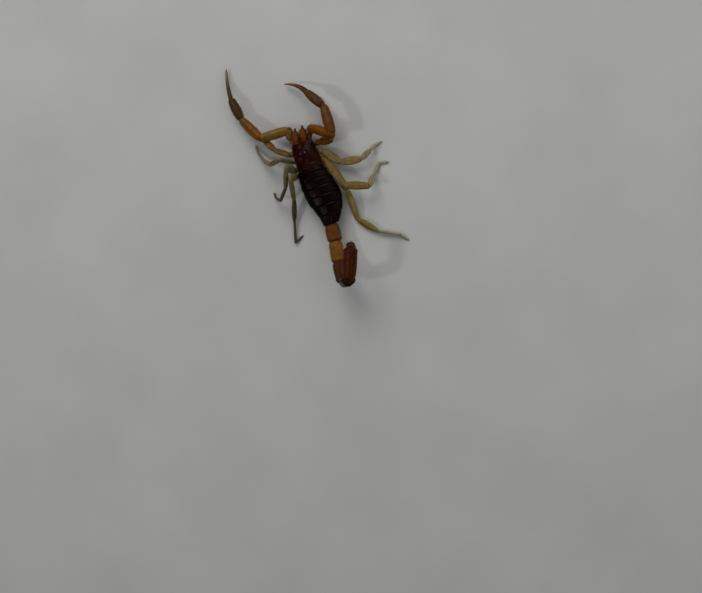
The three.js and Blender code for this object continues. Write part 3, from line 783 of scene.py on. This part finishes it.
bm = bmesh.new()
breastplate = straight_link((0, 7.0, 1.62), (0, 5.6, 1.62))
add_link(
    bm, breastplate, 24, 0.1, wide=swell(0.2, 0.5, 0.55), deep=taper(0.42, 0.42),
    square=3, neck=0.5, hood=0.5,
)
base_front = (0, GENITAL_PLATE["front"], GENITAL_PLATE["z"])
base_rear = (0, GENITAL_PLATE["rear"], GENITAL_PLATE["z"])
add_link(
    bm, straight_link(base_front, base_rear), 36, 0.15, square=3, neck=0.8, hood=0.6,
    wide=lambda t: GENITAL_PLATE["half_width"], deep=lambda t: GENITAL_PLATE["half_height"],
)
for side in (1, -1):
    door = straight_link((side * 0.62, 4.9, 1.5), (side * 0.72, 3.5, 1.5))
    add_link(
        bm, door, 24, 0.1, wide=swell(0.4, 0.6, 0.45), deep=taper(0.2, 0.2),
        square=2.4, neck=0.6, hood=0.6,
    )
finished("breastplate", bm, coxa_shell)

# ---------------------------------------------------------------- combs
# A pair of pale feeling combs hangs under the belly. Each is a jointed bar in three bands, with a
# row of close-set soft teeth along its rear edge and a bead between each two.
COMB = {
    "x": 0.9, "y": 2.4, "z": 0.85, "length": 4.3, "heading": 118,
    "teeth": 19, "tooth": 1.02, "tooth_turn": 68,
}
COMB_BANDS = ((0.26, 0.2), (0.0, 0.2), (-0.22, 0.15))
comb_shell = shell_finish("comb_shell", (0.36, 0.25, 0.13), joint=0.7, gloss=0.5, glow=0.15)
for side_name, side in SIDES:
    start = (side * COMB["x"], COMB["y"], COMB["z"])
    bar = lay_links(start, side, [COMB["length"]], [[COMB["heading"], 0]])[0]
    bm = bmesh.new()
    for band, (shift, half) in enumerate(COMB_BANDS):
        add_link(
            bm, bar, 12, 0.25, wide=taper(half, half * 0.6), deep=taper(0.27 - 0.03 * band, 0.18),
            neck=0.8, sway=lambda t: -side * shift * (1 - 0.4 * t),
        )
    for number in range(COMB["teeth"]):
        t = (number + 0.4) / COMB["teeth"]
        root = bar["start"] + bar["along"] * COMB["length"] * t
        length = COMB["tooth"] * (1 - 0.2 * t)
        tooth = lay_links(root, side, [length], [[COMB["heading"] + COMB["tooth_turn"], 0]])[0]
        add_link(
            bm, tooth, 8, 0.22, wide=swell(0.06, 0.085, 0.06), deep=swell(0.12, 0.2, 0.12),
            neck=0.9, hood=0.8,
        )
        bead = bmesh.ops.create_icosphere(bm, subdivisions=1, radius=0.1)
        spot = root + tooth["along"] * 0.38 + bar["along"] * 0.11
        bmesh.ops.translate(bm, vec=spot, verts=bead["verts"])
    finished(f"comb_{side_name}", bm, comb_shell, [f"pecten_{side_name}"])

# ---------------------------------------------------------------- pincer arms
# Each arm is a chain of hip, upper arm, forearm and hand in orange-brown shell with grained keels.
# The hand is darker, and its two long thin fingers, one fixed and one hinged, end in pale tips.
ARM_LENGTHS = (3.0, 8.5, 8.6, 6.6, 9.6)
ARM_POSES = {
    "right": [(65, 62), (126, 28), (1, -11), (-32, -10), (-50, -29)],
    "left": [(-20, 16), (87, 18), (29, -14), (8, -2), (-7, -14)],
}
FINGER_BOW = 0.8
MOVABLE_FINGER = (0.5, -0.45)
FIXED_FINGER = (-0.45, 0.4)
# The arms' own orange-brown, given for each side, with painted light and shade in it. Each side's tones
# are matched to how that arm is lit, so the two sides differ.
ARM_COLOURS_AND_PAINTED_LIGHT = {
    "right": {
        "upper_arm": ((0.19, 0.058, 0.002), (0.15, 0.04, 0.002)),
        "forearm": ((0.115, 0.03, 0.0015), (0.1, 0.042, 0.003)),
    },
    "left": {
        "upper_arm": ((0.21, 0.11, 0.022), (0.16, 0.085, 0.014)),
        "forearm": ((0.18, 0.062, 0.0025), (0.11, 0.072, 0.007)),
    },
}
# The hand and fingertip colours of each side also carry painted light and shade, which is why the two
# sides differ.
HAND_COLOURS_AND_PAINTED_LIGHT = {
    "right": ((0.085, 0.034, 0.008), (0.36, 0.15, 0.035)),
    "left": ((0.06, 0.033, 0.007), (0.3, 0.26, 0.18)),
}
ARM_SHAPES = {
    "trochanter": {
        "wide": swell(0.95, 1.15, 1.05), "deep": swell(0.85, 1.05, 0.95), "grain": 0.42,
        "keels": both_sides((45, 9, 0.06), (135, 9, 0.05)),
    },
    "femur": {
        "wide": swell(1.05, 1.43, 1.12), "deep": swell(0.88, 1.13, 0.95), "grain": 0.42,
        "keels": [*both_sides((45, 7, 0.1), (135, 7, 0.08)), (-90, 7, 0.05)],
    },
    "patella": {
        "wide": swell(1.05, 1.46, 1.03), "deep": swell(0.9, 1.23, 0.93), "grain": 0.42,
        "keels": [*both_sides((36, 7, 0.09), (144, 7, 0.08)), (90, 7, 0.06), (-90, 7, 0.07)],
    },
    "hand": {
        "wide": swell(0.85, 1.33, 0.95), "deep": swell(0.8, 1.33, 0.9), "hood": 0.4,
        "keels": [(0, 7, 0.05), *both_sides((45, 7, 0.06), (90, 7, 0.05), (135, 7, 0.05))],
        "reach": (0.0, 0.4),
    },
}
ARM_JOINTS = (0.84, 0.86, 0.84)
FINGER_TEETH = 44


def finger_shape(side, offset):
    """A claw finger, which bows outward and hooks in at its tip."""
    out, up = offset

    def slimmer(t):
        return 1 - 0.5 * smooth(t, 0.9, 1.0)

    def sway(t):
        bow = out * (1 - 0.5 * t) + FINGER_BOW * math.sin(math.pi * t)
        return side * (bow - 0.1 * smooth(t, 0.93, 1.0))

    return {
        "wide": lambda t: lerp(0.5, 0.2, t) * slimmer(t),
        "deep": lambda t: lerp(0.55, 0.22, t) * slimmer(t),
        "sway": sway,
        "rise": lambda t: up * (1 - 0.5 * t - 0.4 * smooth(t, 0.93, 1.0)),
        "neck": 0.95,
        "hood": 0.9,
        "reach": (0.4, 1.0),
    }


arm_joint_skin = skin_finish("arm_joint_skin", (0.12, 0.045, 0.008), (0.07, 0.025, 0.005))
for side_name, side in SIDES:
    hip = (side * ARM_HIP["x"], ARM_HIP["y"], ARM_HIP["z"])
    arm = lay_links(hip, side, ARM_LENGTHS, ARM_POSES[side_name])
    fingers = arm[-1]
    # These colours hold painted light and shade for each side as well as the shell's own colour.
    upper, fore = (
        shell_finish(f"{part}_shell_{side_name}", colour, ridge=0.6, tip=end, tip_from=0.84, glow=0.04)
        for part, (colour, end) in ARM_COLOURS_AND_PAINTED_LIGHT[side_name].items()
    )
    colour, pale = HAND_COLOURS_AND_PAINTED_LIGHT[side_name]
    hand_shell = shell_finish(f"hand_shell_{side_name}", colour, joint=1.0, tip=pale, tip_from=0.86)
    hairs = bmesh.new()
    folds = bmesh.new()
    for part, link, material in zip(ARM_SHAPES, arm, (upper, upper, fore, hand_shell)):
        shape = {"square": 2.5, **ARM_SHAPES[part]}
        bm = bmesh.new()
        add_link(bm, link, 40, 0.1, **shape)
        if part == "hand":
            add_link(bm, fingers, 24, 0.12, **finger_shape(side, FIXED_FINGER))
        finished(f"arm_{side_name}_{part}", bm, material, [f"pedipalp_{side_name}_{part}"])
        add_hairs(hairs, link, link_at(link["length"], **shape), 46, 0.75, chance)
    bm = bmesh.new()
    add_link(bm, fingers, 24, 0.12, **finger_shape(side, MOVABLE_FINGER))
    finished(f"arm_{side_name}_finger", bm, hand_shell, [f"pedipalp_{side_name}_finger"])

    bm = bmesh.new()
    towards = Vector((side * 0.74, 0, -0.67))
    for offset, way in ((FIXED_FINGER, towards), (MOVABLE_FINGER, -towards)):
        shape = finger_shape(side, offset)
        for number in range(FINGER_TEETH):
            t = lerp(0.07, 0.95, number / (FINGER_TEETH - 1))
            core = Vector((shape["sway"](t), t * fingers["length"], shape["rise"](t)))
            root = fingers["place"] @ (core + way * lerp(0.46, 0.17, t))
            size = 0.075 if number % 5 == 0 else 0.05
            add_tooth(bm, root, fingers["place"].to_3x3() @ way, size, size * 2)
    finished(f"arm_{side_name}_finger_teeth", bm, tooth_shell)
    surface = link_at(fingers["length"], **finger_shape(side, MOVABLE_FINGER))
    add_hairs(hairs, fingers, surface, 36, 0.5, chance, (0.05, 0.9))
    finished(f"arm_{side_name}_hairs", hairs, hair_finish)
    for before, after, radius in zip(arm, arm[1:], ARM_JOINTS):
        add_joint_skin(folds, before, after, radius)
    finished(f"arm_{side_name}_joint_skin", folds, arm_joint_skin)

# ---------------------------------------------------------------- legs
# Eight walking legs of thin satin shell, flattened from side to side. The upper joints are yellow
# olive with grained edges, and the feet are pale, bristled, and end in two hooked claws.
LEG_LENGTHS = (
    (1.4, 5.0, 5.0, 3.6, 2.8, 2.0),
    (1.5, 6.4, 6.0, 3.8, 2.9, 2.1),
    (1.8, 9.7, 7.3, 5.3, 3.6, 2.4),
    (1.6, 8.4, 9.2, 7.0, 6.4, 2.7),
)
LEG_GIRTHS = (1.12, 0.97, 1.0, 1.02)
SHIN_GIRTHS = (1.0, 1.0, 1.0, 1.35)
LEG_POSES = {
    "right": [
        [(80, 6), (103, 28), (-2, -16), (3, -28), (3, -4), (-4,)],
        [(104, 6), (142, 9), (103, 0), (68, 0), (45, -62), (83,)],
        [(124, 26), (159, 17), (113, 0), (27, -53), (44, -15), (105,)],
        [(116, -6), (161, 5), (183, -9), (140, 0), (118, -2), (145,)],
    ],
    "left": [
        [(106, 6), (49, 30), (29, -19), (37, -21), (30, -16), (14,)],
        [(108, 14), (44, 67), (91, -43), (42, -32), (19, -18), (6,)],
        [(106, -2), (-24, 82), (146, -35), (128, -29), (52, -50), (22,)],
        [(92, 4), (-140, 88), (151, -46), (153, -22), (160, -5), (294,)],
    ],
}
HALF_WIDTHS = (
    (0.68, 0.74, 0.62), (0.56, 0.64, 0.52), (0.52, 0.66, 0.5),
    (0.46, 0.52, 0.38), (0.36, 0.38, 0.34), (0.32, 0.32, 0.25),
)
HALF_DEPTHS = (
    (0.78, 0.82, 0.72), (0.68, 1.14, 0.8), (0.72, 1.2, 0.76),
    (0.62, 0.88, 0.5), (0.44, 0.46, 0.38), (0.36, 0.36, 0.25),
)
SHIN = 3
CLAW = 0.58
# Colours of each leg's upper joints, shin and foot. Besides the legs' own yellow olive, the two sides
# differ by painted light and shade. The upper joints of the two left hind legs are made pale as painted
# light, and the shins and feet of those legs are made dark as painted shade.
LEG_COLOURS_AND_PAINTED_LIGHT = {
    "right": [
        ((0.16, 0.058, 0.004), (0.15, 0.07, 0.012), (0.18, 0.11, 0.04)),
        ((0.205, 0.14, 0.042), (0.28, 0.22, 0.12), (0.32, 0.29, 0.2)),
        ((0.165, 0.1, 0.022), (0.28, 0.23, 0.13), (0.31, 0.28, 0.19)),
        ((0.235, 0.172, 0.045), (0.19, 0.142, 0.02), (0.31, 0.28, 0.19)),
    ],
    "left": [
        ((0.18, 0.095, 0.02), (0.15, 0.09, 0.028), (0.18, 0.13, 0.065)),
        ((0.19, 0.145, 0.07), (0.21, 0.165, 0.1), (0.22, 0.19, 0.135)),
        ((0.21, 0.17, 0.085), (0.1, 0.08, 0.045), (0.085, 0.072, 0.048)),
        ((0.2, 0.158, 0.06), (0.075, 0.062, 0.028), (0.08, 0.068, 0.04)),
    ],
}
EDGE_KEELS = [(0, 10, 0.06), (180, 10, 0.06), *both_sides((90, 12, 0.02))]
LEG_HAIRS = (4, 14, 14, 18, 22, 22)
LEG_JOINTS = (0.58, 0.5, 0.46, 0.34, 0.26)


def leg_shape(index, girth, shin_girth, reach):
    """The form of one of a leg's six links, thin across and deep between its two edges."""
    wide, deep = ([half * girth for half in sizes[index]] for sizes in (HALF_WIDTHS, HALF_DEPTHS))
    if index == SHIN:
        wide[1] *= shin_girth
        deep[1] *= shin_girth
    shape = {"wide": swell(*wide), "deep": swell(*deep), "reach": reach}
    shape["neck"] = 0.66 if index <= SHIN else 0.85
    if 0 < index <= SHIN:
        shape.update(keels=EDGE_KEELS, grain=0.34)
    return shape


def add_foot_details(bm, ankle, foot, side, heading, girth):
    """Adds two hooked claws at a foot's end, two rows of spines below it, and a pair of spurs."""
    for spread in (-24, 24):
        claw = lay_links(foot["end"], side, [CLAW], [[heading + spread, 4]])[0]
        add_link(
            bm, claw, 10, 0.09, wide=taper(0.12, 0.03), deep=taper(0.14, 0.035), neck=1.0,
            rise=lambda t: 0.1 * math.sin(math.pi * t) - 0.14 * t * t, reach=(1, 1),
        )
    way = (foot["along"] - Vector((0, 0, 1.2))).normalized()
    for t in (0.15, 0.3, 0.45, 0.6, 0.75, 0.9):
        for across in (-0.12, 0.12):
            spine = foot["place"] @ Vector((across, t * foot["length"], -0.25 * girth))
            add_tooth(bm, spine, way, 0.035, 0.2)
    for across in (-0.3, 0.3):
        spur = ankle["place"] @ Vector((across * girth, ankle["length"] * 0.95, -0.1))
        way = ankle["along"] + ankle["place"].to_3x3() @ Vector((across, 0, -0.5))
        add_tooth(bm, spur, way.normalized(), 0.08, 0.36)


def on_the_floor(bm):
    """Presses what would lie below the floor flat on it."""
    for corner in bm.verts:
        corner.co.z = max(corner.co.z, 0.0)


leg_joint_skin = skin_finish("leg_joint_skin", (0.24, 0.17, 0.08), (0.15, 0.1, 0.045))
for side_name, side in SIDES:
    for number, (lengths, girth) in enumerate(zip(LEG_LENGTHS, LEG_GIRTHS)):
        title = f"leg_{side_name}_{number + 1}"
        hip = (side * HIP["x"], HIP["y"][number], HIP["z"])
        pose = LEG_POSES[side_name][number]
        leg = lay_links(hip, side, lengths, pose, kneed=True)
        # On the left side these colours carry painted light and shade as well as the legs' own colour.
        upper, shin, foot = LEG_COLOURS_AND_PAINTED_LIGHT[side_name][number]
        base_shell = shell_finish(f"{title}_upper_shell", upper, gloss=0.33, glow=0.1)
        end_shell = shell_finish(
            f"{title}_lower_shell", shin, joint=0.7, tip=foot, tip_from=0.48, gloss=0.38, glow=0.2
        )
        reached = [(0, 1)] * SHIN
        base = 0.0
        for length in lengths[SHIN:]:
            reached.append((base, base + length / sum(lengths[SHIN:])))
            base = reached[-1][1]
        hairs = bmesh.new()
        folds = bmesh.new()
        groups = (
            ("femur", (0, 1), base_shell), ("patella", (2,), base_shell), ("shank", (3, 4, 5), end_shell)
        )
        for part, members, material in groups:
            bm = bmesh.new()
            for index in members:
                shape = leg_shape(index, girth, SHIN_GIRTHS[number], reached[index])
                add_link(bm, leg[index], 24 if index <= SHIN else 16, 0.16, **shape)
                surface = link_at(leg[index]["length"], **shape)
                add_hairs(hairs, leg[index], surface, LEG_HAIRS[index], 0.42, chance)
            if part == "shank":
                add_foot_details(bm, leg[4], leg[5], side, pose[-1][0], girth)
            on_the_floor(bm)
            finished(f"{title}_{part}_shell", bm, material, [f"{title}_{part}"])
        for before, after, radius in zip(leg, leg[1:], LEG_JOINTS):
            add_joint_skin(folds, before, after, radius * girth)
        on_the_floor(folds)
        on_the_floor(hairs)
        finished(f"{title}_joint_skin", folds, leg_joint_skin)
        finished(f"{title}_hairs", hairs, hair_finish)

# ---------------------------------------------------------------- tail
# Five rings of hard shell, each keeled and grained along its corners and furrowed on its back, and
# joined end to end by soft skin. They darken from amber at the root to black-red at the end.
TAIL = {
    "lengths": (5.0, 6.1, 6.2, 7.3, 8.6),
    "pose": [(186, 5), (189, 9), (180, 24), (92, 62), (25, 3)],
    "half_widths": (2.05, 1.97, 1.97, 1.87, 1.98),
    "half_heights": (1.8, 1.75, 1.75, 1.75, 1.75),
    "joints": (1.5, 1.45, 1.42, 1.4, 1.0),
    "shines": (0.1, 0.1, 0.07, 0.03, 0.06),
}
STING = {"bulb": 4.2, "needle": 2.9, "half_width": 1.42, "half_height": 1.38, "pose": (-39, -71)}
TAIL_COLOURS = (
    (0.108, 0.036, 0.0022), (0.192, 0.072, 0.006), (0.064, 0.014, 0.0015),
    (0.034, 0.0065, 0.001), (0.061, 0.011, 0.0012),
)
furrow = (0, 13, -0.13)
upper_keels = both_sides((26, 5, 0.15), (67, 6, 0.11))
middle_keels = both_sides((97, 6, 0.08))
lower_keels = both_sides((128, 6, 0.11), (161, 6, 0.09))
last_keels = [*both_sides((45, 7, 0.12), (128, 6, 0.11)), (180, 6, 0.1)]
tail_keels = [[furrow, *upper_keels, *middle_keels, *lower_keels]]
tail_keels += [[furrow, *upper_keels, *lower_keels]] * 3 + [[furrow, *last_keels]]


def waist(t):
    """A ring is narrowest at its front end, widest at its middle, and a little less at its rear."""
    return 0.86 + 0.14 * math.sin(math.pi * min(t * 1.1 + 0.1, 1) * 0.72)


tail_start = (0, TRUNK["rear"], lerp(TRUNK["belly"][2], TRUNK["top"][2], 0.5))
tail_poses = [*TAIL["pose"], STING["pose"], STING["pose"]]
tail = lay_links(tail_start, 1, [*TAIL["lengths"], STING["bulb"], STING["needle"]], tail_poses)
tail_hairs = bmesh.new()
tail_folds = bmesh.new()
for number, (link, keels) in enumerate(zip(tail, tail_keels)):
    half_width, half_height = TAIL["half_widths"][number], TAIL["half_heights"][number]
    shape = {
        "wide": lambda t: half_width * waist(t),
        "deep": lambda t: half_height * waist(t),
        "square": 2.6, "keels": keels, "grain": 0.44, "neck": 0.84,
    }
    ring_shell = shell_finish(
        f"tail_shell_{number + 1}", TAIL_COLOURS[number], shine=TAIL["shines"][number], glow=0.04
    )
    bm = bmesh.new()
    add_link(bm, link, 60, 0.11, **shape)
    finished(f"tail_ring_{number + 1}", bm, ring_shell, [f"metasoma_{number + 1}"])
    add_hairs(tail_hairs, link, link_at(link["length"], **shape), 34, 0.7, chance)
    add_joint_skin(tail_folds, link, tail[number + 1], TAIL["joints"][number])
tail_joint_skin = skin_finish("tail_joint_skin", (0.032, 0.01, 0.003), (0.016, 0.005, 0.002))
finished("tail_joint_skin", tail_folds, tail_joint_skin)

# ---------------------------------------------------------------- sting
# A pear-shaped bulb of red-brown shell at the tail's end holds the venom, and draws out to a long
# black needle that curves down. A small tooth stands under the needle's root.
bulb_shell = shell_finish(
    "bulb_shell", (0.05, 0.013, 0.0035), tip=(0.008, 0.004, 0.003), tip_from=0.74, gloss=0.22
)
bulb = tail[-2]
bulb_and_needle = STING["bulb"] + STING["needle"]


def sting_at(y, angle):
    """The surface of the bulb, and past its end that of the needle."""
    t = clamp(y / STING["bulb"])
    n = clamp((y - STING["bulb"]) / STING["needle"])
    width = lerp(lerp(0.75, 0.5, t), STING["half_width"], math.sin(math.pi * t) ** 0.8)
    depth = lerp(lerp(0.75, 0.45, t), STING["half_height"], math.sin(math.pi * t) ** 0.8)
    point = lerp(0.47, 0.05, n ** 0.85)
    share = smooth(y, STING["bulb"] - 0.5, STING["bulb"] + 0.2)
    out = lerp(0.8, 1.0, smooth(y, -0.1, 0.5))
    pebble = 1 + 0.02 * math.sin(5 * angle) * (1 - share)
    x = lerp(width * out * pebble, point, share) * math.sin(angle)
    z = lerp(depth * out * pebble, point, share) * math.cos(angle)
    drop = -0.25 * math.sin(math.pi * t) * (1 - share) - 0.9 * n * n
    return x, y, z + drop, 0, 1 - smooth(y, 0, 0.4), y / bulb_and_needle


bm = bmesh.new()
skin(bm, steps(-0.1, bulb_and_needle, 0.1), 40, sting_at, bulb["place"])
underside = (bulb["place"].to_3x3() @ Vector((0, 0.55, -0.84))).normalized()
add_tooth(bm, bulb["place"] @ Vector((0, STING["bulb"] + 0.05, -0.5)), underside, 0.24, 0.62)
finished("sting", bm, bulb_shell, ["telson"])
add_hairs(tail_hairs, bulb, sting_at, 60, 0.8, chance, (0.1, 0.95))
finished("tail_hairs", tail_hairs, hair_finish)
